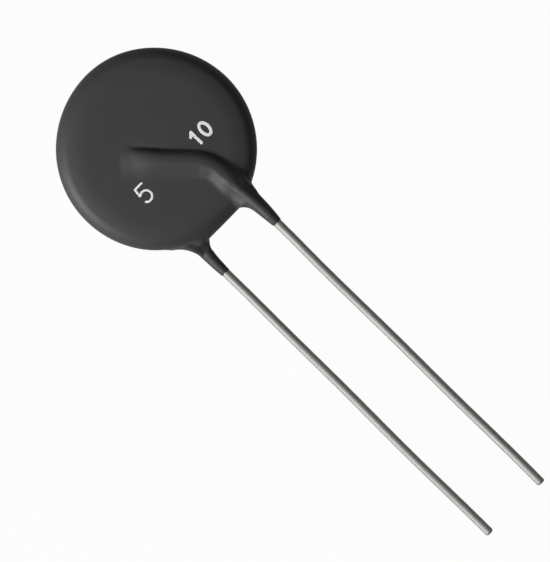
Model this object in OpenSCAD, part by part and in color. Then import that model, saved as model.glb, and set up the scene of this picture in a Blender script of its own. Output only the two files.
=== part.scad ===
// Inrush current limiter: a dipped disc thermistor with two radial wire leads.
// Millimetres. The part lies on its back: +Z is up, the leads run along -Y, and
// the origin is the middle of the overall box, on the surface that it lies on.
// The modules work round the pellet's centre, and placed() moves the whole part.

/* [Pellet] */
// Diameter of the sintered ceramic pellet
pellet_d = 20; // [15:0.5:26]
// Thickness of the pellet
pellet_t = 3; // [2:0.1:5]
// Bevel that the press leaves round both faces
pellet_bevel = 0.2; // [0.1:0.05:0.4]
// Bare ceramic left round each electrode
electrode_margin = 0.7; // [0.3:0.1:1.5]
// Thickness of the fired silver electrode
electrode_t = 0.05; // [0.03:0.01:0.1]

/* [Leads] */
// Diameter of the tinned copper wire
wire_d = 1; // [0.8:0.05:1.1]
// Distance between the two leads, seen from the front
lead_pitch = 7.8; // [6.5:0.1:10]
// Sideways shift of the pair of leads off the pellet's centre
pair_shift = -0.4; // [-0.8:0.05:0.8]
// Bare wire past the end of the coating
bare_l = 40.4; // [25:0.1:50]
// Angle between the leg that crosses the pellet and the rest of the lead
cross_angle = 43; // [35:1:50]
// Length of the crossing leg, from the corner of the bend to the cut end
cross_leg = 6.9; // [6.5:0.1:8]
// Distance of the bend's corner from the pellet's centre
bend_y = 4.9; // [4:0.1:6]
// Radius of the bend, to the middle of the wire
bend_r = 3.5; // [3:0.1:4]
// How much the wire's radius shrinks where it is bent
bend_thinning = 0.005; // [0.003:0.001:0.01]
// Thickness of the last dip of tin, which the bare wire has and the coated wire lacks
tin_t = 0.01; // [0.005:0.005:0.02]
// Length over which that tin runs out under the end of the coating
tin_fade_l = 0.8; // [0.7:0.1:1.5]
// Bevel at each cropped tip
tip_bevel = 0.15; // [0.05:0.05:0.3]

/* [Solder] */
// Solder between the electrode and the wire
film_t = 0.05; // [0.03:0.01:0.1]
// Radius of the solder that wets the wire's two sides
bead_r = 0.8; // [0.7:0.05:0.9]

/* [Coating] */
// Coating over the middle of each face
face_coat = 0.65; // [0.5:0.05:0.9]
// How much lower the coating lies at the rim than in the middle of a face
crown = 0.2; // [0.1:0.05:0.3]
// Coating round the pellet's edge
rim_coat = 1; // [0.8:0.05:1.3]
// Shift of the coating away from the leads, where it sagged while it cured
sag = 0.1; // [0:0.05:0.2]
// Radius of the rounded shoulder between face and rim
shoulder_r = 1.4; // [1:0.1:1.6]
// Coating over a wire that lies on the pellet
wire_coat = 0.3; // [0.25:0.05:0.4]
// How far the coating runs down each lead past the rim
neck_l = 4.1; // [2.5:0.05:6]
// Coating left on the wire where the neck ends
neck_end_coat = 0.05; // [0.03:0.01:0.1]
// Reach of the fillet on the outer side of a lead's straight run
fillet_r = 0.95; // [0.7:0.05:1.2]
// Reach of the wider fillet on the side that faces the other lead
inner_r = 1.4; // [1:0.1:1.8]
// Reach of the bank that built up on the leads' side of the crossing leg
bank_r = 2.2; // [1.5:0.1:2.5]
// Reach of the short fillet on the far side of the crossing leg
lee_r = 0.6; // [0.5:0.05:0.8]
// How far past the wire's cut end the ridge keeps its height
ridge_keep_l = 0.8; // [0.4:0.1:1.2]
// How far past the cut end the ridge has died away
ridge_end_l = 3.4; // [3:0.1:4]
// Radius of the web of coating that hangs between the two necks
web_r = 1.25; // [1:0.05:1.4]

/* [Hidden] */

FRONT = 1;
BACK = -1;

pellet_r = pellet_d / 2;
wire_r = wire_d / 2;
copper_r = wire_r - tin_t;
coat_r = pellet_r + rim_coat;
electrode_top = pellet_t / 2 + electrode_t;
face_h = electrode_top + face_coat;
wire_z = electrode_top + film_t + wire_r;
ridge_r = wire_r + wire_coat;

// Runs of the lead, measured along the wire from its cut end over the pellet
bend_run = bend_r * tan(cross_angle / 2);
leg_l = cross_leg - bend_run;
arc_l = bend_r * cross_angle * PI / 180;
bend_end_y = -bend_y - bend_run;
neck_end_y = -(coat_r - sag) - neck_l;
tip_y = neck_end_y - bare_l;
neck_end_l = leg_l + arc_l + bend_end_y - neck_end_y;

// The overall box runs from the far rim to the tips, and down to the back ridge
middle_y = (coat_r + sag + tip_y) / 2;
lowest_z = -wire_z - ridge_r;

ring_n = 28;
station_step = 0.5;
dome_n = 5;
shoulder_n = 8;
fine = 0.01;
bend_lap = 0.05;

function unit(v) = v / norm(v);
function clamp01(x) = max(0, min(1, x));
function smooth(x, from, to) =
    let (t = clamp01((x - from) / (to - from))) t * t * (3 - 2 * t);

// Turn of the wire off the leads' direction at length l along it
function turn(l) = cross_angle * (1 - clamp01((l - leg_l) / arc_l));

// Point on the wire's middle line, where the lead on the given side runs
function lead_point(l, side) =
    let (
        a = turn(l),
        back = max(0, leg_l - l),
        on = max(0, l - leg_l - arc_l),
        x = lead_pitch / 2 - bend_r * (1 - cos(a)) - back * sin(a),
        y = bend_end_y + bend_r * sin(a) + back * cos(a) - on
    )
    [pair_shift + side * x, y, side * wire_z];

// Height of a coated face above the pellet's middle plane, at radius r
function face_z(r) = face_h - crown * pow(min(r, coat_r - shoulder_r) / coat_r, 2);

// Distance of a point from the skin of the coated disc, less than 0 inside it
function disc_gap(p) =
    let (
        r = norm([p.x, p.y - sag]),
        out = r - (coat_r - shoulder_r),
        up = abs(p.z) - (face_z(r) - shoulder_r)
    )
    norm([max(out, 0), max(up, 0)]) + min(max(out, up), 0) - shoulder_r;

function disc_normal(p) =
    unit([
        for (d = [[fine, 0, 0], [0, fine, 0], [0, 0, fine]])
            disc_gap(p + d) - disc_gap(p - d)
    ]);

// Radius of the coating round the wire, thinning down the neck
function sleeve_r(l) =
    let (down = clamp01((neck_end_l - l) / neck_l))
    wire_r + neck_end_coat + (wire_coat - neck_end_coat) * sqrt(down);

// Reach of the fillet at length l, on the side that faces the other lead or away
function reach(l, across) =
    let (
        straight = smooth(l, leg_l - bank_r, leg_l),
        on_leg = across < 0 ? bank_r : lee_r,
        on_run = across < 0 ? inner_r : fillet_r
    )
    on_leg + (on_run - on_leg) * straight;

// How far the fillet swells at a gap from the disc's skin
function swell(gap, r) = r * pow(1 - clamp01(gap / r), 3);

// Fall of the ridge past the cut end of the wire
function ridge_fall(l) =
    (ridge_r + film_t + face_coat) * smooth(-l, ridge_keep_l, ridge_end_l);

// Point of the coating's skin round a lead: on a round sleeve, and pushed out
// along the disc's skin where the sleeve comes near it
function sleeve_point(l, side, t) =
    let (
        a = turn(l),
        across = [side * cos(a), sin(a), 0],
        out = cos(t) * across + sin(t) * [0, 0, side],
        middle = lead_point(l, side) - [0, 0, side * ridge_fall(l)],
        p = middle + sleeve_r(l) * out,
        n = disc_normal(p)
    )
    p + swell(disc_gap(p), reach(l, cos(t))) * (out - (out * n) * n);

// A closed skin through rings that all have the same number of points
module loft(rings) {
    n = len(rings[0]);
    last = len(rings) - 1;
    polyhedron(
        points = [for (ring = rings) each ring],
        faces = [
            [for (i = [0 : n - 1]) i],
            [for (i = [n - 1 : -1 : 0]) last * n + i],
            for (k = [0 : last - 1], i = [0 : n - 1])
                let (a = k * n + i, b = k * n + (i + 1) % n)
                each [[a, a + n, b], [b, a + n, b + n]]
        ]
    );
}

module sleeve(side) {
    steps = ceil((neck_end_l + ridge_end_l) / station_step);
    loft([
        for (k = [0 : steps])
            let (l = -ridge_end_l + (neck_end_l + ridge_end_l) * k / steps)
            [for (i = [0 : ring_n - 1]) sleeve_point(l, side, 360 * i / ring_n)]
    ]);
}

module coated_disc() {
    shoulder_x = coat_r - shoulder_r;
    dome = [
        for (k = [0 : dome_n])
            let (r = shoulder_x * k / dome_n) [r, face_z(r)]
    ];
    shoulder = [
        for (k = [1 : shoulder_n])
            let (a = 90 * (1 - k / shoulder_n))
            [shoulder_x, face_z(shoulder_x) - shoulder_r] + shoulder_r * [cos(a), sin(a)]
    ];
    half = concat(dome, shoulder);
    mirrored = [for (k = [len(half) - 1 : -1 : 0]) [half[k].x, -half[k].y]];
    translate([0, sag, 0])
        rotate_extrude($fn = 96)
            polygon(concat(half, mirrored));
}

// The web runs level between the necks, its edge as low as the disc's lowest point
module web() {
    run = lead_pitch - 2 * ridge_r;
    translate([pair_shift, sag - coat_r + web_r, 0]) rotate([0, 90, 0]) {
        cylinder(r = web_r, h = run, center = true, $fn = 48);
        for (end = [-run, run] / 2) translate([0, 0, end]) sphere(r = web_r, $fn = 48);
    }
}

module placed() {
    translate([0, -middle_y, -lowest_z]) children();
}

// Stands its children on the front face, or turns them to the back
module on_side(side) {
    translate([pair_shift, 0, 0]) rotate([0, side == BACK ? 180 : 0, 0]) children();
}

// Stands its children at length l of the crossing leg, with +Y towards the cut end
module on_leg(l) {
    a = cross_angle;
    x = lead_pitch / 2 - bend_r * (1 - cos(a)) - (leg_l - l) * sin(a);
    y = bend_end_y + bend_r * sin(a) + (leg_l - l) * cos(a);
    translate([x, y, 0]) rotate([0, 0, a]) children();
}

// The straight run, turned from its own outline: bevelled tip, bare tinned wire,
// the fade of the tin, and the coated wire up to just inside the bend
module straight_run() {
    rotate([-90, 0, 0])
        rotate_extrude($fn = 48)
            polygon([
                [0, tip_y],
                [wire_r - tip_bevel, tip_y],
                [wire_r, tip_y + tip_bevel],
                [wire_r, neck_end_y],
                [copper_r, neck_end_y + tin_fade_l],
                [copper_r, bend_end_y + bend_lap],
                [0, bend_end_y + bend_lap]
            ]);
}

module lead(side) {
    color("silver")
    on_side(side)
    translate([0, 0, wire_z]) {
        on_leg(leg_l + bend_lap)
            rotate([-90, 0, 0]) cylinder(r = copper_r, h = leg_l + bend_lap, $fn = 48);
        translate([lead_pitch / 2 - bend_r, bend_end_y, 0])
            rotate_extrude(angle = cross_angle, $fn = 96)
                translate([bend_r, 0]) circle(r = copper_r - bend_thinning, $fn = 48);
        translate([lead_pitch / 2, 0, 0]) straight_run();
    }
}

module bead(side) {
    first_l = bead_r / 3;
    last_l = leg_l - bead_r;
    on_side(side)
    translate([0, 0, electrode_top])
        intersection() {
            union() {
                on_leg(last_l)
                    rotate([-90, 0, 0]) cylinder(r = bead_r, h = last_l - first_l, $fn = 48);
                on_leg(first_l) sphere(r = bead_r, $fn = 48);
                on_leg(last_l) sphere(r = bead_r, $fn = 48);
            }
            translate([-pellet_r, -pellet_r, 0]) cube([pellet_d, pellet_d, bead_r * 2]);
        }
}

module solder(side) {
    color("lightgray")
    difference() {
        bead(side);
        lead(side);
    }
}

module electrode(side) {
    color("gainsboro")
    translate([0, 0, side == FRONT ? pellet_t / 2 : -electrode_top])
        cylinder(r = pellet_r - electrode_margin, h = electrode_t, $fn = 96);
}

module ceramic_pellet() {
    half_t = pellet_t / 2;
    color("dimgray")
    rotate_extrude($fn = 96)
        polygon([
            [0, -half_t],
            [pellet_r - pellet_bevel, -half_t],
            [pellet_r, pellet_bevel - half_t],
            [pellet_r, half_t - pellet_bevel],
            [pellet_r - pellet_bevel, half_t],
            [0, half_t]
        ]);
}

module coating() {
    color([0.2, 0.2, 0.21])
    difference() {
        union() {
            coated_disc();
            web();
            sleeve(FRONT);
            sleeve(BACK);
        }
        ceramic_pellet();
        for (side = [FRONT, BACK]) {
            electrode(side);
            bead(side);
            lead(side);
        }
    }
}

placed() coating();
placed() ceramic_pellet();
placed() electrode(FRONT);  // front_electrode
placed() electrode(BACK);  // back_electrode
placed() solder(FRONT);  // front_solder
placed() solder(BACK);  // back_solder
placed() lead(FRONT);  // front_lead
placed() lead(BACK);  // back_lead
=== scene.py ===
import math

import bpy
import numpy as np
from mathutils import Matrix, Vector


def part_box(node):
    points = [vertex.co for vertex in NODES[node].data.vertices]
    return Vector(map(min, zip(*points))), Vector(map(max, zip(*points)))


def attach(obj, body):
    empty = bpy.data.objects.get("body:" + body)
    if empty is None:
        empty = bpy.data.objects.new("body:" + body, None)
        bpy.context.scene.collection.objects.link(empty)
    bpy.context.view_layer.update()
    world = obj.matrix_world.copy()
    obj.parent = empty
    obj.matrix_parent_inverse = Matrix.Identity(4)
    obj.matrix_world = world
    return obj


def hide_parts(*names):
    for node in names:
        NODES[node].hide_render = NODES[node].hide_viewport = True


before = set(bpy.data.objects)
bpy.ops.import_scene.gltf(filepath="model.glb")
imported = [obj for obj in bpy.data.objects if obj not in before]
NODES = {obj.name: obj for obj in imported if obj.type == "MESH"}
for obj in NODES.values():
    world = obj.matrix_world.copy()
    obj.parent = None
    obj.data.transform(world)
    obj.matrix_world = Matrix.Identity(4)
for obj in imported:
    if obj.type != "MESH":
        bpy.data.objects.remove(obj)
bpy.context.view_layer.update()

# Shapes are worked out in millimetres from the pellet's centre: X across the leads, Y along them with
# the tips at low Y, and Z up through the front face. A side of 1 is the front wire, and -1 the back one.
MM = 0.001


def node_box(name):
    """The low and the high corner of a node's box, in millimetres."""
    low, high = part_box(name)
    return np.array(low) / MM, np.array(high) / MM


# The photograph's size and the pellet's centre in it, in pixels, and its scale
PHOTO_W, PHOTO_H = 550, 562
PELLET_PX = (156.5, 148.9)
PX_PER_MM = 9.1818

# The leads point this far below the photograph's right: the camera's roll, right and up follow from it
LEADS_DOWN_DEG = 44.6
ROLL = math.radians(-(90 - LEADS_DOWN_DEG))
RIGHT = Vector((math.cos(ROLL), math.sin(ROLL), 0))
UP = Vector((-math.sin(ROLL), math.cos(ROLL), 0))

# The frame's own sizes
COAT_LOW, COAT_HIGH = node_box("coating")
PELLET_LOW, PELLET_HIGH = node_box("ceramic_pellet")
WIRE_LOW, WIRE_HIGH = node_box("front_lead")
BACK_WIRE_LOW = node_box("back_lead")[0]
CENTRE = (PELLET_LOW + PELLET_HIGH) / 2
WIRE_R = (WIRE_HIGH[2] - WIRE_LOW[2]) / 2
WIRE_Z = (WIRE_HIGH[2] + WIRE_LOW[2]) / 2 - CENTRE[2]
FRONT_X = WIRE_HIGH[0] - WIRE_R
BACK_X = BACK_WIRE_LOW[0] + WIRE_R
PAIR_SHIFT = (FRONT_X + BACK_X) / 2
LEAD_X = (FRONT_X - BACK_X) / 2
TIP_Y = WIRE_LOW[1] - CENTRE[1]
LEG_END_Y = WIRE_HIGH[1] - CENTRE[1]
NECK_END_Y = COAT_LOW[1] - CENTRE[1]
COAT_R = (COAT_HIGH[0] - COAT_LOW[0]) / 2
RIDGE_TOP = COAT_HIGH[2] - CENTRE[2]

# The route of each wire: a leg across the pellet, a bend, and a straight run out
CROSS_ANGLE = math.radians(43)
BEND_R = 3.5
BEND_Y = -4.9
BEND_RUN = BEND_R * math.tan(CROSS_ANGLE / 2)
BEND_END_Y = BEND_Y - BEND_RUN
ARC_L = BEND_R * CROSS_ANGLE
LEG_START = np.array([
    LEAD_X - BEND_R * (1 - math.cos(CROSS_ANGLE)),
    BEND_END_Y + BEND_R * math.sin(CROSS_ANGLE),
])
LEG_DIR = np.array([-math.sin(CROSS_ANGLE), math.cos(CROSS_ANGLE)])
LEG_L = (LEG_END_Y - WIRE_R * math.sin(CROSS_ANGLE) - LEG_START[1]) / LEG_DIR[1]
RIM_ALONG = LEG_L + ARC_L + BEND_END_Y + COAT_R
NECK_L = -NECK_END_Y - COAT_R

# The dipped skin's waves: height, radians per millimetre, spread of their phases, count and seed
WAVE_H, WAVE_PITCH, WAVE_PHASES = 0.02, 0.55, 9
WAVE_COUNT, WAVE_SEED = 10, 7
WAVES = np.random.default_rng(WAVE_SEED).normal(size=(WAVE_COUNT, 4))

# The coating's outline from the front, a little inside the frame's so that the waves stay in its box
EDGE_R = COAT_R - 0.04
SAG_H, SAG_ANGLE, SAG_SPREAD = 0.17, math.radians(73), math.radians(30)
SWELL_H, SWELL_ANGLE, SWELL_SPREAD = 0.10, math.radians(-140), math.radians(30)

# The straight web between the necks: its distance from the centre, the angles over which each corner
# comes in, in radians from the leads' direction, and the levels between which a corner fades
WEB_Y = 10.97
WEB_BACK_CORNER, WEB_FRONT_CORNER = (-0.46, -0.31), (0.40, 0.27)
WEB_LEVELS = -1.6, 0.6

# The coating's faces and rim: a face's height and its fall toward the rim, the rim's rounding, the
# further drop beside it and over what width, and how far the rim bulges
FACE_H = 2.2
CROWN = 0.2
SHOULDER = 1.25
SHOULDER_DROP = 0.34
SHOULDER_DROP_W = 3.8
RIM_BULGE = 0.12

# The ridge over a wire: a wide bank on one side of its crest, and a short lee on the other.
# Each pair holds the value over the leg and the one over the straight run. The ridge's corner over
# the bend is cut a little short.
CREST_Z = RIDGE_TOP - 0.06, RIDGE_TOP - 0.12
BANK_FOOT = -2.6, -2.1
LEE_FOOT = 0.75, 0.9
LEE_W = 1.25, 1.45
LEG_TO_STRAIGHT = LEG_L - 2.3, LEG_L + ARC_L + 0.5
BANK_POWER, LEE_POWER = 2, 3
CORNER_CUT, CORNER_CUT_L = 0.2, 1.3

# The ridge's end, by places along the wire from its cut end: where it sinks, and how softly;
# where its feet move out, and the bank's this many times as far; and where its lee turns wide and gentle
NOSE_START, NOSE_END = 1.8, -3.1
NOSE_POWER, NOSE_SOFT = 2.1, 0.2
SPREAD_RUN = 2.0, -0.5
LEE_SPREAD, BANK_SHARE = 0.1, 5
LEE_END_RUN = -1.4, -2.5
LEE_END_W = 1.5
LEE_W_LEAST = 0.02

# The fillet at the lee's foot, the groove beside it, and where the ridge fades before the rim
LEE_FILLET, LEE_FILLET_RUN = 0.15, (-0.5, 0.5)
REACH_LEAST = 0.001
GROOVE_DEPTH, GROOVE_AT, GROOVE_W = 0.07, 0.75, 0.3
GROOVE_FROM, GROOVE_TO = (3.0, 1.0), (-2.2, -1.7)
RIDGE_FADE = -0.2, -3.2

# The necks on the wires: half widths toward the other neck (inner) and away from it (outer).
# A dictionary goes by side, and a place along a neck counts from the rim. A neck starts inside the
# disc, and past its tip it runs on a little, under the wire's surface.
NECK_START = -4.2
NECK_SPARE = 0.3
INNER_ROOT = {1: 1.00, -1: 0.65}
INNER_FLARE = {1: 0.60, -1: 0.66}
INNER_FLARE_L = {1: 0.50, -1: 0.65}
INNER_FADE_L = {1: 3.0, -1: 4.0}
INNER_FLARE_POWER = 1.3
OUTER_ROOT = {1: 0.81, -1: 0.71}
OUTER_TAPER_POWER = 2.5
OUTER_FLARE, OUTER_FLARE_L = 0.08, 0.4
OUTER_SPREAD = {1: 0.05, -1: 0.30}
OUTER_SPREAD_L = 2.1

# How a neck leans off its wire within the rim and past it, how it sinks under the ridge, and how much
# narrower than the neck its round core is at least
NECK_LEANS, LEAN_RUN = (-0.32, -0.12), (-2, 0.3)
LEAN_L = 2.5
NECK_SINK, NECK_SINK_START = 0.3, -2.8
CORE_ROOM = 0.02

# A neck's feet, toward the other neck, and wings, away from it: radius, depth and where they come in
FOOT_R, FOOT_R_L = (0.3, 0.5), 1.2
FOOT_R_LEAST, FOOT_ROOM = 0.02, 0.05
FOOT_DEPTH, FOOT_DEPTH_L = {1: 0.45, -1: 0.7}, 1.5
WING_R, WING_DEPTH = 0.6, 1.0
WING_RUN = 0.8, -0.5
WING_SHARE = 0.4

# A neck's ragged end, and the radius at which it is gone under the wire's surface
NECK_TIP = {1: 0.57, -1: 0.53}
NECK_TIP_AT = {1: 0.05, -1: -0.10}
RAGGED_H, RAGGED_TEETH = 0.06, 5
TIP_BEFORE, TIP_AFTER = 0.15, 0.1
SUNK_R = WIRE_R - 0.06

# How far off the fillets between the disc and a neck start: on a neck's inner side, the same low on the
# front neck, on its outer side, and within the disc on either side
REACH_INNER, REACH_INNER_LOW, REACH_OUTER = 0.7, 1.0, 2.0
REACH_WITHIN, REACH_WITHIN_OUTER = 0.35, 1.2
REACH_INNER_LEVELS, REACH_WITHIN_LEVELS = (-0.2, -0.8), (0.0, -0.6)
REACH_ACROSS, REACH_RIM_RUN = (0.0, 1.0), (-1.8, -0.2)

# The grid on which the coating's skin is found
VOXEL = 0.15

# The printed numbers: how high the ink stands and how deep it roots, the grid's step, and the levels
# between which the face lies under them
INK_H, INK_ROOT, INK_STEP = 0.02, 0.08, 0.04
INK_LEVELS = FACE_H - 0.45, FACE_H + 0.1
# Each one's name, text, lower left corner, height and stroke
PRINTS = (
    ("print_upper", "10", (3.35, -3.2), 1.9, 0.36),
    ("print_lower", "5", (-5.2, -3.7), 2.4, 0.26),
)

# The wires' sections and tips, with a little room inside the frame's wires
WIRE_SIDES = 40
WIRE_STEP = 0.3
WIRE_ROOM = 0.005
TIP_L, TIP_ROOM = 0.28, 0.02
TIP_RINGS, TIP_FIRST = 7, 0.12
TIP_SHRINK, TIP_POWER = 0.93, 2.6
# The faint bow of the bare wires, with its waves in millimetres per radian and the run over which it
# comes in, and the unevenness of their surface, with its waves in radians per millimetre
BOW_H, BOW_LENGTHS, BOW_START_L = 0.03, (7, 3.1), 6
LUMP_HEIGHTS, LUMP_PITCHES = (0.003, 0.002), (2.3, 5.1)
# Each one's name, node, side, curl at the tip, and seed
WIRES = (
    ("front_wire", "front_lead", 1, 0.09, 11),
    ("back_wire", "back_lead", -1, 0.0, 12),
)

# The materials' noise: the detail of the mottling and of the grain, and how strong the relief is
MOTTLE_DETAIL, GRAIN_DETAIL = 3, 4
RELIEF = 0.35

# The backdrop: how much of its white the camera sees, how much of it shows in reflections, the floor's
# own colour and gloss, the world's even light, and how far the floor lies below the part and reaches
WHITE_SEEN = 0.97
FLOOR_REFLECTED, WORLD_REFLECTED = 0.5, 0.1
FLOOR_GREY, FLOOR_ROUGH, FLOOR_SPECULAR = 0.25, 0.9, 0.1
WORLD_DIM = 0.06
FLOOR_GAP = 0.02
FLOOR_HALF_M = 3.0

# The camera's lens and sensor in millimetres, and the distances in metres between which it sees
LENS, SENSOR = 600, 36
CLIP_M = 0.05, 10

# The lamps: name, direction as the photograph's right and up and the height above the floor,
# distance and size in metres, and power in watts
LAMPS = (
    ("key", (-0.84, -0.58, 0.62), 0.5, 0.2, 3.2),
    ("overhead", (-0.55, -0.2, 1.3), 0.8, 0.75, 1.4),
    ("low", (-0.95, -0.35, 0.15), 0.5, 0.15, 0.5),
)


def smoothstep(x, low, high):
    """A smooth change from 0 at low to 1 at high, which may lie below low."""
    t = np.clip((x - low) / (high - low), 0, 1)
    return t * t * (3 - 2 * t)


def lerp(a, b, t):
    """The value a share t of the way from a to b."""
    return a + (b - a) * t


def smooth_union(a, b, reach):
    """The union of two fields, with a fillet that starts where both are within reach of each other."""
    h = np.maximum(reach - np.abs(a - b), 0) / reach
    return np.minimum(a, b) - h * h * reach / 4


def waviness(p):
    """A faint unevenness of the dipped skin, from a few slow waves."""
    total = 0
    for x, y, z, phase in WAVES:
        total = total + np.sin(WAVE_PITCH * (x * p[0] + y * p[1] + z * p[2]) + WAVE_PHASES * phase)
    return WAVE_H * total / len(WAVES)


def wire_place(p, side):
    """Where points stand beside a wire.

    Gives the length along it from the cut end, the signed distance across it, and the height above it.
    """
    x = side * (p[0] - PAIR_SHIFT)
    y = p[1]
    # the straight run
    along, across = LEG_L + ARC_L + (BEND_END_Y - y), x - LEAD_X
    gap = np.where(y <= BEND_END_Y, np.abs(across), np.inf)
    # the bend
    dx, dy = x - (LEAD_X - BEND_R), y - BEND_END_Y
    angle, r = np.arctan2(dy, dx), np.hypot(dx, dy)
    off = np.where((angle >= 0) & (angle <= CROSS_ANGLE), np.abs(r - BEND_R), np.inf)
    near = off < gap
    gap = np.where(near, off, gap)
    along = np.where(near, LEG_L + ARC_L * (1 - angle / CROSS_ANGLE), along)
    across = np.where(near, r - BEND_R, across)
    # the leg over the pellet, and on past its end
    qx, qy = x - LEG_START[0], y - LEG_START[1]
    up = qx * LEG_DIR[0] + qy * LEG_DIR[1]
    off = qx * LEG_DIR[1] - qy * LEG_DIR[0]
    near = (up >= 0) & (np.abs(off) < gap)
    along = np.where(near, LEG_L - up, along)
    across = np.where(near, off, across)
    return along, across, side * p[2] - WIRE_Z


def hump(angle, middle, spread):
    """A smooth hump of height 1 round an angle."""
    off = (angle - middle + math.pi) % (2 * math.pi) - math.pi
    return np.exp(-(off / spread) ** 2)


def outline_radius(angle, z):
    """Distance of the disc's edge from its middle, with the sag on top and the web between the necks.

    The web's corners lie at the level of the neck that each one runs into.
    """
    edge = EDGE_R + SAG_H * hump(angle, SAG_ANGLE, SAG_SPREAD)
    edge = edge + SWELL_H * hump(angle, SWELL_ANGLE, SWELL_SPREAD)
    turn = (angle + math.pi / 2 + math.pi) % (2 * math.pi) - math.pi
    # the cosine is held up where the web's line would run off, which is past its corners
    web = WEB_Y / np.maximum(np.cos(turn), 0.5)
    share = smoothstep(turn, *WEB_BACK_CORNER) * smoothstep(turn, *WEB_FRONT_CORNER)
    share = share * smoothstep(np.sign(turn) * z, *WEB_LEVELS)
    return lerp(edge, np.maximum(edge, web), share)


def ridge_rise(p, side, face):
    """How far the ridge over one wire stands above the plain face."""
    along, across, _ = wire_place(p, side)
    across = across + CORNER_CUT * np.exp(-((along - LEG_L - ARC_L / 2) / CORNER_CUT_L) ** 2)
    straight = smoothstep(along, *LEG_TO_STRAIGHT)
    pairs = (CREST_Z, BANK_FOOT, LEE_FOOT, LEE_W)
    crest_z, bank_foot, lee_foot, lee_w = (lerp(*pair, straight) for pair in pairs)

    # toward its end the ridge sinks, its feet move out, and then its lee turns wide and gentle
    left = 1 - np.clip((NOSE_START - along) / (NOSE_START - NOSE_END), 0, 1) ** NOSE_POWER
    left = left ** 2 / (left + NOSE_SOFT) * (1 + NOSE_SOFT)
    ending = smoothstep(along, *LEE_END_RUN)
    spread = LEE_SPREAD * smoothstep(along, *SPREAD_RUN)
    lee_foot = lee_foot + spread
    bank_foot = bank_foot - BANK_SHARE * spread
    lee_w = lerp(lee_w * np.sqrt(left) + spread, LEE_END_W, ending) + LEE_W_LEAST

    # the profile across the wire
    crest = lee_foot - lee_w
    up_bank = np.clip((across - bank_foot) / (crest - bank_foot), 0, 1)
    down_lee = np.clip((across - crest) / lee_w, 0, 2)
    bank = 1 - (1 - up_bank ** BANK_POWER) ** 2
    lee = lerp(1 - down_lee ** LEE_POWER, 1 - smoothstep(down_lee, 0, 1), ending)
    rise = np.maximum(crest_z - face, 0) * left * np.minimum(bank, lee)

    # the fillet at the lee's foot, and the groove beside it
    reach = LEE_FILLET * left * smoothstep(across, *LEE_FILLET_RUN) * (1 - ending) + REACH_LEAST
    rise = -smooth_union(-rise, 0, reach)
    groove = smoothstep(along, *GROOVE_FROM) * smoothstep(along, *GROOVE_TO)
    groove = groove * GROOVE_DEPTH * np.exp(-((across - GROOVE_AT - spread) / GROOVE_W) ** 2)
    return rise * smoothstep(along - RIM_ALONG, *RIDGE_FADE) - groove


def disc_field(p):
    """Signed distance, nearly, from the coated disc, with the ridges over the wires."""
    r, angle = np.hypot(p[0], p[1]), np.arctan2(p[1], p[0])
    edge = outline_radius(angle, p[2])
    height = FACE_H - CROWN * (r / COAT_R) ** 2
    height = height - SHOULDER_DROP * smoothstep(r, edge - SHOULDER_DROP_W, edge) ** 2
    height = height + np.where(p[2] > 0, ridge_rise(p, 1, height), ridge_rise(p, -1, height))
    edge = edge - RIM_BULGE * (p[2] / FACE_H) ** 2
    out = r - (edge - SHOULDER)
    up = np.abs(p[2]) - (height - SHOULDER)
    return np.hypot(np.maximum(out, 0), np.maximum(up, 0)) + np.minimum(np.maximum(out, up), 0) - SHOULDER


def hull_of_circles(x, y, big_r, to_x, to_y, small_r):
    """Signed distance from the hull of a circle at the origin and a smaller one at a given place."""
    span = np.hypot(to_x, to_y)
    # held below 1, also where the smaller circle lies within the other
    sine = np.clip((big_r - small_r) / span, -0.999, 0.999)
    cosine = np.sqrt(1 - sine ** 2)
    beside = np.abs(x * to_y - y * to_x) / span
    ahead = (x * to_x + y * to_y) / span
    turn = cosine * ahead - sine * beside
    flank = beside * cosine + ahead * sine - big_r
    end = np.hypot(beside, ahead - span) - small_r
    return np.where(turn < 0, np.hypot(beside, ahead) - big_r, np.where(turn > cosine * span, end, flank))


def half_widths(past, side):
    """Half widths of the coating on a wire near the rim, toward the other neck and away from it."""
    t = np.clip(past / NECK_L, 0, 1)
    out = np.maximum(past, 0)
    tip = NECK_TIP[side]
    flare_l = np.where(past > 0, INNER_FLARE_L[side], INNER_FADE_L[side])
    flare = INNER_FLARE[side] * np.exp(-(np.abs(past) / flare_l) ** INNER_FLARE_POWER)
    inner = lerp(INNER_ROOT[side], tip, t) + flare
    outer = lerp(OUTER_ROOT[side], tip, t ** OUTER_TAPER_POWER) + OUTER_FLARE * np.exp(-out / OUTER_FLARE_L)
    outer = outer + OUTER_SPREAD[side] * np.clip(-past, 0, OUTER_SPREAD_L) ** 2
    return inner, outer


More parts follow.
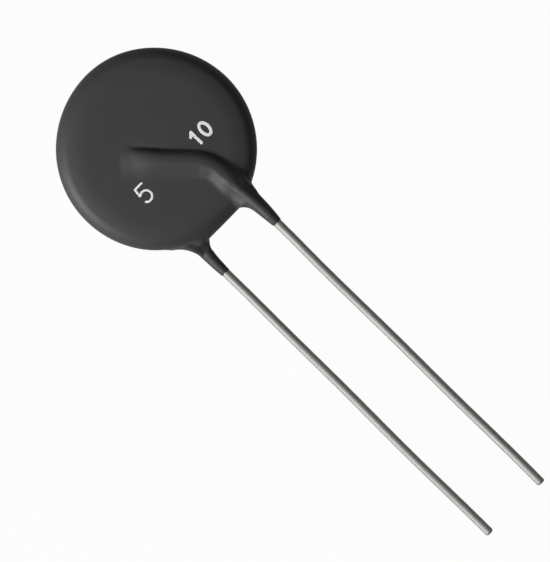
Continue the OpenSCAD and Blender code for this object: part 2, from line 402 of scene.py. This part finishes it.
def neck_field(p, side):
    """Signed distance, nearly, from the coating that runs down one wire past the rim."""
    along, across, above = wire_place(p, side)
    past = along - RIM_ALONG
    inner, outer = half_widths(past, side)
    lean = lerp(*NECK_LEANS, smoothstep(past, *LEAN_RUN)) * smoothstep(past, LEAN_L, 0)
    core = np.minimum(CREST_Z[1] - WIRE_Z, (inner + outer) / 2 - CORE_ROOM)

    # the neck's end: a little ragged, and gone under the wire's own surface
    ragged = RAGGED_H * np.sin(RAGGED_TEETH * np.arctan2(above, across) + 2 * side)
    tip_at = NECK_L + NECK_TIP_AT[side] + ragged
    gone = smoothstep(past, tip_at - TIP_BEFORE, tip_at + TIP_AFTER)
    core, inner, outer = (lerp(w, SUNK_R, gone) for w in (core, inner, outer))

    # the section: a round core on the wire, a foot on its inner side and a wing on its outer one.
    # On the front neck the wing stays a second foot, higher up.
    x = across - lean
    y = above + NECK_SINK * smoothstep(past, NECK_SINK_START, NECK_START)
    foot_y = -FOOT_DEPTH[side] * smoothstep(past, FOOT_DEPTH_L, 0)
    foot_r = np.clip(core - FOOT_ROOM, FOOT_R_LEAST, lerp(*FOOT_R, smoothstep(past, FOOT_R_L, 0)))
    spread = 0 if side == 1 else smoothstep(past, *WING_RUN)
    wing_y, wing_r = lerp(foot_y * WING_SHARE, -WING_DEPTH, spread), lerp(foot_r, WING_R, spread)
    foot_x, wing_x = -(inner + lean - foot_r), outer - lean - wing_r
    toward_other = hull_of_circles(x, y, core, foot_x, foot_y, foot_r)
    away = hull_of_circles(x, y, core, wing_x, wing_y, wing_r)
    between = hull_of_circles(x - foot_x, y - foot_y, foot_r, wing_x - foot_x, wing_y - foot_y, wing_r)
    sleeve = np.minimum(np.minimum(toward_other, away), between)
    return np.maximum(sleeve, np.maximum(past - NECK_L - NECK_SPARE, NECK_START - past))


def fillet_reach(p, side):
    """How far from the corner the fillet between a neck and the disc starts."""
    along, across, above = wire_place(p, side)
    past = along - RIM_ALONG
    away = smoothstep(across, *REACH_ACROSS)
    inner = REACH_INNER
    if side == 1:
        inner = lerp(REACH_INNER, REACH_INNER_LOW, smoothstep(above, *REACH_INNER_LEVELS))
    at_rim = lerp(inner, REACH_OUTER, away)
    within = lerp(REACH_WITHIN, REACH_WITHIN_OUTER, away * smoothstep(above, *REACH_WITHIN_LEVELS))
    return lerp(within, at_rim, smoothstep(past, *REACH_RIM_RUN))


def skin_field(p):
    """The coating's outer skin: less than 0 inside."""
    f = disc_field(p)
    for side in (1, -1):
        f = smooth_union(f, neck_field(p, side), fillet_reach(p, side))
    return f + waviness(p)


def surface_nets(field, low, high, step):
    """Vertices and quads of a field's zero surface.

    Each grid cell that the surface crosses has one vertex, and each grid edge that it crosses one quad.
    """
    axes = [np.arange(a, b + step, step) for a, b in zip(low, high)]
    grid = np.stack(np.meshgrid(*axes, indexing="ij"))
    values = field(grid)
    inside = values < 0
    shape = np.array(values.shape) - 1

    # a cell's vertex is the mean of the crossings on its twelve edges, in shares of the cell
    total = np.zeros((3, *shape))
    count = np.zeros(shape, int)
    for axis in range(3):
        others = [a for a in range(3) if a != axis]
        for i in (0, 1):
            for j in (0, 1):
                start = [slice(0, n) for n in shape]
                start[others[0]] = slice(i, shape[others[0]] + i)
                start[others[1]] = slice(j, shape[others[1]] + j)
                end = list(start)
                end[axis] = slice(1, shape[axis] + 1)
                a, b = values[tuple(start)], values[tuple(end)]
                crossed = (a < 0) != (b < 0)
                t = np.where(crossed, a / np.where(crossed, a - b, 1), 0)
                count += crossed
                for k in range(3):
                    part = t if k == axis else (i if k == others[0] else j)
                    total[k] += np.where(crossed, part, 0)
    active = count > 0
    index = np.full(shape, -1)
    index[active] = np.arange(active.sum())
    cells = np.stack(np.nonzero(active))
    verts = np.array(low)[:, None] + step * (cells + total[:, active] / count[active])

    # a crossed edge's quad joins the four cells round it, and faces out
    quads = []
    for axis in range(3):
        others = [a for a in range(3) if a != axis]
        here = [slice(0, n + 1) for n in shape]
        there = list(here)
        here[axis], there[axis] = slice(0, -1), slice(1, None)
        a, b = inside[tuple(here)], inside[tuple(there)]
        at = np.stack(np.nonzero(a != b))
        ok = (at[others[0]] > 0) & (at[others[1]] > 0)
        ok &= (at[others[0]] < shape[others[0]]) & (at[others[1]] < shape[others[1]])
        at = at[:, ok]
        ring = []
        for i, j in ((1, 1), (0, 1), (0, 0), (1, 0)):
            c = at.copy()
            c[others[0]] -= i
            c[others[1]] -= j
            ring.append(index[tuple(c)])
        ring = np.stack(ring, 1)
        solid_first = a[tuple(at)]
        flip = solid_first if axis != 1 else ~solid_first
        quads.append(np.where(flip[:, None], ring, ring[:, ::-1]))
    return verts.T, np.concatenate(quads)


def settle(field, verts, rounds=4):
    """Moves vertices onto the field's zero surface."""
    h, least_slope, most_move = 0.01, 0.05, 0.1
    p = verts.T.copy()
    for _ in range(rounds):
        f = field(p)
        g = []
        for k in range(3):
            d = np.zeros((3, 1))
            d[k] = h
            g.append((field(p + d) - field(p - d)) / (2 * h))
        g = np.stack(g)
        p -= g * np.clip(f / np.maximum((g * g).sum(0), least_slope), -most_move, most_move)
    return p.T


def mesh_object(name, verts_mm, faces):
    """A smooth mesh object at the origin. The points are in millimetres from the pellet's centre."""
    mesh = bpy.data.meshes.new(name)
    verts = (np.asarray(verts_mm) + CENTRE) * MM
    mesh.from_pydata(verts.tolist(), [], [list(map(int, f)) for f in faces])
    mesh.validate()
    mesh.shade_smooth()
    obj = bpy.data.objects.new(name, mesh)
    bpy.context.scene.collection.objects.link(obj)
    return obj


def new_material(name):
    """A node material, with its nodes, its links and its main shader."""
    material = bpy.data.materials.new(name)
    material.use_nodes = True
    nodes, links = material.node_tree.nodes, material.node_tree.links
    return material, nodes, links, nodes["Principled BSDF"]


def grainy_material(name, dark, pale, rough, grain, depth, metallic=0, specular=0.5, mottle=260):
    """A material with slow mottling in its colour, and grain in its roughness and relief.

    The mottling is given in cells per metre, and so is the grain, along X, Y and Z. The relief's depth
    is in millimetres.
    """
    material, nodes, links, shader = new_material(name)
    shader.inputs["Metallic"].default_value = metallic
    shader.inputs["Specular IOR Level"].default_value = specular
    place = nodes.new("ShaderNodeTexCoord")
    slow = nodes.new("ShaderNodeTexNoise")
    slow.inputs["Scale"].default_value = mottle
    slow.inputs["Detail"].default_value = MOTTLE_DETAIL
    stretch = nodes.new("ShaderNodeMapping")
    stretch.inputs["Scale"].default_value = grain
    fast = nodes.new("ShaderNodeTexNoise")
    fast.inputs["Scale"].default_value = 1
    fast.inputs["Detail"].default_value = GRAIN_DETAIL
    colour = nodes.new("ShaderNodeMix")
    colour.data_type = "RGBA"
    colour.inputs["A"].default_value = (*dark, 1)
    colour.inputs["B"].default_value = (*pale, 1)
    roughness = nodes.new("ShaderNodeMapRange")
    roughness.inputs["To Min"].default_value, roughness.inputs["To Max"].default_value = rough
    relief = nodes.new("ShaderNodeBump")
    relief.inputs["Strength"].default_value = RELIEF
    relief.inputs["Distance"].default_value = depth * MM
    links.new(place.outputs["Object"], slow.inputs["Vector"])
    links.new(place.outputs["Object"], stretch.inputs["Vector"])
    links.new(stretch.outputs["Vector"], fast.inputs["Vector"])
    links.new(slow.outputs["Fac"], colour.inputs["Factor"])
    links.new(colour.outputs["Result"], shader.inputs["Base Color"])
    links.new(fast.outputs["Fac"], roughness.inputs["Value"])
    links.new(roughness.outputs["Result"], shader.inputs["Roughness"])
    links.new(fast.outputs["Fac"], relief.inputs["Height"])
    links.new(relief.outputs["Normal"], shader.inputs["Normal"])
    return material


def coating_material():
    """Matte black dipped coating."""
    return grainy_material(
        "coating", dark=(0.0330, 0.0322, 0.0330), pale=(0.0411, 0.0402, 0.0411),
        rough=(0.46, 0.60), grain=(6500, 6500, 6500), depth=0.03, specular=0.3,
    )


def wire_material():
    """Dull tin, with grain drawn out along the wire."""
    return grainy_material(
        "tinned_wire", dark=(0.325, 0.321, 0.310), pale=(0.390, 0.385, 0.373),
        rough=(0.62, 0.76), grain=(2600, 90, 2600), depth=0.01, metallic=1, mottle=900,
    )


def ink_material():
    """White printing ink."""
    return grainy_material(
        "print", dark=(0.74, 0.74, 0.73), pale=(0.82, 0.82, 0.81),
        rough=(0.45, 0.60), grain=(5000, 5000, 5000), depth=0.01, mottle=1500,
    )


def ceramic_material():
    """Dark sintered ceramic."""
    return grainy_material(
        "ceramic", dark=(0.070, 0.064, 0.058), pale=(0.100, 0.092, 0.085),
        rough=(0.70, 0.85), grain=(9000, 9000, 9000), depth=0.02,
    )


def silver_material():
    """Fired silver."""
    return grainy_material(
        "silver", dark=(0.70, 0.69, 0.67), pale=(0.80, 0.79, 0.77),
        rough=(0.45, 0.60), grain=(7000, 7000, 7000), depth=0.01, metallic=1,
    )


def solder_material():
    """Bright solder."""
    return grainy_material(
        "solder", dark=(0.50, 0.50, 0.51), pale=(0.62, 0.62, 0.63),
        rough=(0.25, 0.40), grain=(1800, 1800, 1800), depth=0.02, metallic=1,
    )


def backdrop_share(nodes, links, in_reflections):
    """How much of the backdrop's white a ray sees.

    That is nearly all from the camera or through glass, and a given share in a reflection.
    """
    rays = nodes.new("ShaderNodeLightPath")
    direct = nodes.new("ShaderNodeMath")
    direct.operation = "MAXIMUM"
    seen = nodes.new("ShaderNodeMath")
    seen.operation = "MULTIPLY"
    seen.inputs[1].default_value = WHITE_SEEN
    share = nodes.new("ShaderNodeMath")
    share.operation = "MULTIPLY_ADD"
    share.inputs[1].default_value = in_reflections
    links.new(rays.outputs["Is Camera Ray"], direct.inputs[0])
    links.new(rays.outputs["Is Transmission Ray"], direct.inputs[1])
    links.new(direct.outputs["Value"], seen.inputs[0])
    links.new(rays.outputs["Is Glossy Ray"], share.inputs[0])
    links.new(seen.outputs["Value"], share.inputs[2])
    return share.outputs["Value"]


def add_white(nodes, links, plain, white, in_reflections, output):
    """Shows a white shader in place of the plain one, by the share of the white that each ray sees."""
    mix = nodes.new("ShaderNodeMixShader")
    links.new(backdrop_share(nodes, links, in_reflections), mix.inputs["Fac"])
    links.new(plain, mix.inputs[1])
    links.new(white, mix.inputs[2])
    links.new(mix.outputs["Shader"], nodes[output].inputs["Surface"])


def floor_material():
    """A floor that the camera sees as white with a trace of the shadow.

    It is grey underneath, so that it throws only a little light back at the part.
    """
    material, nodes, links, shader = new_material("floor")
    shader.inputs["Base Color"].default_value = (FLOOR_GREY, FLOOR_GREY, FLOOR_GREY, 1)
    shader.inputs["Roughness"].default_value = FLOOR_ROUGH
    shader.inputs["Specular IOR Level"].default_value = FLOOR_SPECULAR
    glow = nodes.new("ShaderNodeEmission")
    glow.inputs["Strength"].default_value = 1
    plain, white = shader.outputs["BSDF"], glow.outputs["Emission"]
    add_white(nodes, links, plain, white, FLOOR_REFLECTED, "Material Output")
    return material


def studio_world():
    """A dim even light from all round, which the camera sees as white."""
    world = bpy.data.worlds.new("studio")
    world.use_nodes = True
    nodes, links = world.node_tree.nodes, world.node_tree.links
    dim = nodes["Background"]
    dim.inputs["Color"].default_value = (1, 1, 1, 1)
    dim.inputs["Strength"].default_value = WORLD_DIM
    glow = nodes.new("ShaderNodeBackground")
    glow.inputs["Color"].default_value = (1, 1, 1, 1)
    glow.inputs["Strength"].default_value = 1
    plain, white = dim.outputs["Background"], glow.outputs["Background"]
    add_white(nodes, links, plain, white, WORLD_REFLECTED, "World Output")
    return world


def make_coating(material):
    """The coating's dipped skin, which stands for the CAD coating."""
    margin = 3 * VOXEL
    low = COAT_LOW - CENTRE - margin
    high = COAT_HIGH - CENTRE + margin
    verts, quads = surface_nets(skin_field, low, high, VOXEL)
    verts = settle(skin_field, verts)
    skin = mesh_object("coating_skin", verts, quads)
    skin.data.materials.append(material)
    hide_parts("coating")
    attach(skin, "root")
    return skin


def wire_route(step):
    """Points of a wire's middle line in its own plane, from the cut end to the tip.

    Each point comes with its direction.
    """
    places = []
    for t in np.arange(0, LEG_L, step):
        places.append((LEG_START + LEG_DIR * (LEG_L - t), -LEG_DIR))
    middle = np.array([LEAD_X - BEND_R, BEND_END_Y])
    for t in np.arange(0, ARC_L, step / 2):
        a = CROSS_ANGLE * (1 - t / ARC_L)
        outward = np.array([math.cos(a), math.sin(a)])
        places.append((middle + BEND_R * outward, np.array([math.sin(a), -math.cos(a)])))
    run = BEND_END_Y - (TIP_Y + TIP_L + TIP_ROOM)
    for t in np.linspace(0, run, int(run / step)):
        places.append((np.array([LEAD_X, BEND_END_Y - t]), np.array([0, -1])))
    return places


def wire_rings(curl, seed):
    """Rings of points along a wire, faintly uneven, up to a cropped and rounded tip."""
    rng = np.random.default_rng(seed)
    slow, fast = rng.uniform(0, 2 * math.pi, (2, 4))
    angles = np.linspace(0, 2 * math.pi, WIRE_SIDES, endpoint=False)
    rings, travel, last = [], 0, None
    for point, direction in wire_route(WIRE_STEP):
        travel += 0 if last is None else np.hypot(*(point - last))
        last = point
        shown = smoothstep(-point[1], -NECK_END_Y, -NECK_END_Y + BOW_START_L)
        waves = (math.sin(travel / length + phase) for length, phase in zip(BOW_LENGTHS, slow))
        bow = shown * BOW_H * sum(waves)
        lump = LUMP_HEIGHTS[0] * np.sin(travel * LUMP_PITCHES[0] + fast[0] + angles)
        lump = lump + LUMP_HEIGHTS[1] * np.sin(travel * LUMP_PITCHES[1] + 2 * angles + fast[1])
        r = WIRE_R - WIRE_ROOM + lump
        across = np.array([-direction[1], direction[0]])
        flat = point[:, None] + across[:, None] * (r * np.cos(angles) + bow)
        rings.append(np.stack([flat[0], flat[1], WIRE_Z + r * np.sin(angles)]))

    tip = rings[-1]
    middle = tip.mean(1)
    for t in np.linspace(TIP_FIRST, 1, TIP_RINGS):
        shrink = math.sqrt(max(1 - (TIP_SHRINK * t) ** TIP_POWER, 0))
        ring = middle[:, None] + (tip - middle[:, None]) * shrink
        ring[1] -= TIP_L * t
        ring[0] += curl * t * t
        rings.append(ring)
    return rings


def make_wire(name, node, side, curl, seed, material):
    """A tinned wire, swept along its route."""
    rings = wire_rings(curl, seed)
    verts = np.concatenate([ring.T for ring in rings])
    verts[:, 0] = PAIR_SHIFT + side * verts[:, 0]
    verts[:, 2] *= side
    n, count = WIRE_SIDES, len(rings)
    faces = [
        (k * n + i, k * n + (i + 1) % n, (k + 1) * n + (i + 1) % n, (k + 1) * n + i)
        for k in range(count - 1) for i in range(n)
    ]
    faces += [tuple(range(n))[::-1], tuple((count - 1) * n + i for i in range(n))]
    wire = mesh_object(name, verts, faces)
    wire.data.materials.append(material)
    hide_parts(node)
    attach(wire, "root")
    return wire


def curve_points(middle, across, up, start, end, count):
    """Points round part of an ellipse, from one angle to another in degrees."""
    angles = np.radians(np.linspace(start, end, count))
    return [(middle[0] + across * math.cos(a), middle[1] + up * math.sin(a)) for a in angles]


# Strokes of plain figures in a box that is 1 high, and the step from one figure to the next
FIGURES = {
    "0": [curve_points((0.33, 0.5), 0.25, 0.42, 0, 360, 33)],
    "1": [[(0.08, 0.72), (0.30, 0.92), (0.30, 0.08)]],
    "5": [[(0.58, 0.92), (0.16, 0.92), (0.12, 0.55)], curve_points((0.33, 0.35), 0.26, 0.27, 130, -140, 21)],
}
FIGURE_STEP = 0.68


def stroke_distance(x, y, text, corner, height, stroke):
    """Distance of points from the outline of a printed number, less than 0 within a stroke."""
    best = np.full(x.shape, np.inf)
    for place, figure in enumerate(text):
        left = place * FIGURE_STEP
        for line in FIGURES[figure]:
            line = [(corner[0] + height * (a + left), corner[1] + height * b) for a, b in line]
            for (ax, ay), (bx, by) in zip(line, line[1:]):
                dx, dy = bx - ax, by - ay
                t = np.clip(((x - ax) * dx + (y - ay) * dy) / (dx * dx + dy * dy), 0, 1)
                best = np.minimum(best, np.hypot(x - ax - t * dx, y - ay - t * dy))
    return best - stroke / 2


def make_print(name, text, corner, height, stroke, material):
    """A plain printed number: a film of ink that follows the coating's front skin."""
    def film(p):
        """The film's field: less than 0 within a stroke and near the skin."""
        over = skin_field(p)
        around = stroke_distance(p[0], p[1], text, corner, height, stroke)
        return np.maximum(around, np.maximum(over - INK_H, -INK_ROOT - over))

    wide = height * (1 + FIGURE_STEP * (len(text) - 1))
    low = (corner[0] - stroke, corner[1] - stroke, INK_LEVELS[0])
    high = (corner[0] + wide, corner[1] + height + stroke, INK_LEVELS[1])
    verts, quads = surface_nets(film, low, high, INK_STEP)
    number = mesh_object(name, verts, quads)
    number.data.materials.append(material)
    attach(number, "root")
    return number


def dress_inside():
    """Puts materials on the CAD pieces that the coating closes in."""
    for name, make_material in (
        ("ceramic_pellet", ceramic_material),
        ("front_electrode", silver_material),
        ("back_electrode", silver_material),
        ("front_solder", solder_material),
        ("back_solder", solder_material),
    ):
        NODES[name].data.materials.clear()
        NODES[name].data.materials.append(make_material())


def make_camera():
    """A long lens straight above, with the pellet and the leads where the photograph has them."""
    data = bpy.data.cameras.new("camera")
    cam = bpy.data.objects.new("camera", data)
    bpy.context.scene.collection.objects.link(cam)
    bpy.context.scene.camera = cam
    data.lens = LENS
    data.sensor_width = SENSOR
    seen = max(PHOTO_W, PHOTO_H) / PX_PER_MM * MM
    distance = data.lens / data.sensor_width * seen
    right_mm = (PHOTO_W / 2 - PELLET_PX[0]) / PX_PER_MM
    down_mm = (PHOTO_H / 2 - PELLET_PX[1]) / PX_PER_MM
    target = Vector(CENTRE * MM) + RIGHT * right_mm * MM - UP * down_mm * MM
    cam.location = target + Vector((0, 0, distance))
    cam.rotation_euler = (0, 0, ROLL)
    data.clip_start, data.clip_end = CLIP_M
    return cam


def toward(right, up, height):
    """A direction given in the photograph's own right and up, and in height above the floor."""
    return RIGHT * right + UP * up + Vector((0, 0, height))


def area_lamp(name, direction, distance, size, power):
    """A round lamp that points at the pellet's centre."""
    data = bpy.data.lights.new(name, "AREA")
    data.shape = "DISK"
    data.size = size
    data.energy = power
    lamp = bpy.data.objects.new(name, data)
    bpy.context.scene.collection.objects.link(lamp)
    middle = Vector(CENTRE * MM)
    lamp.location = middle + direction.normalized() * distance
    lamp.rotation_mode = "QUATERNION"
    lamp.rotation_quaternion = (middle - lamp.location).to_track_quat("-Z", "Y")
    lamp.visible_camera = False
    return lamp


def make_stage():
    """The floor, the world and the lamps."""
    bpy.context.scene.view_settings.view_transform = "Standard"
    mesh = bpy.data.meshes.new("floor")
    corners = [(FLOOR_HALF_M * x, FLOOR_HALF_M * y, 0) for x, y in ((-1, -1), (1, -1), (1, 1), (-1, 1))]
    mesh.from_pydata(corners, [], [(0, 1, 2, 3)])
    floor = bpy.data.objects.new("floor", mesh)
    bpy.context.scene.collection.objects.link(floor)
    floor.location.z = -FLOOR_GAP * MM
    mesh.materials.append(floor_material())
    bpy.context.scene.world = studio_world()
    for name, direction, distance, size, power in LAMPS:
        area_lamp(name, toward(*direction), distance, size, power)


make_coating(coating_material())
tinned = wire_material()
for name, node, side, curl, seed in WIRES:
    make_wire(name, node, side, curl, seed, tinned)
ink = ink_material()
for name, text, corner, height, stroke in PRINTS:
    make_print(name, text, corner, height, stroke, ink)
dress_inside()
make_stage()
make_camera()
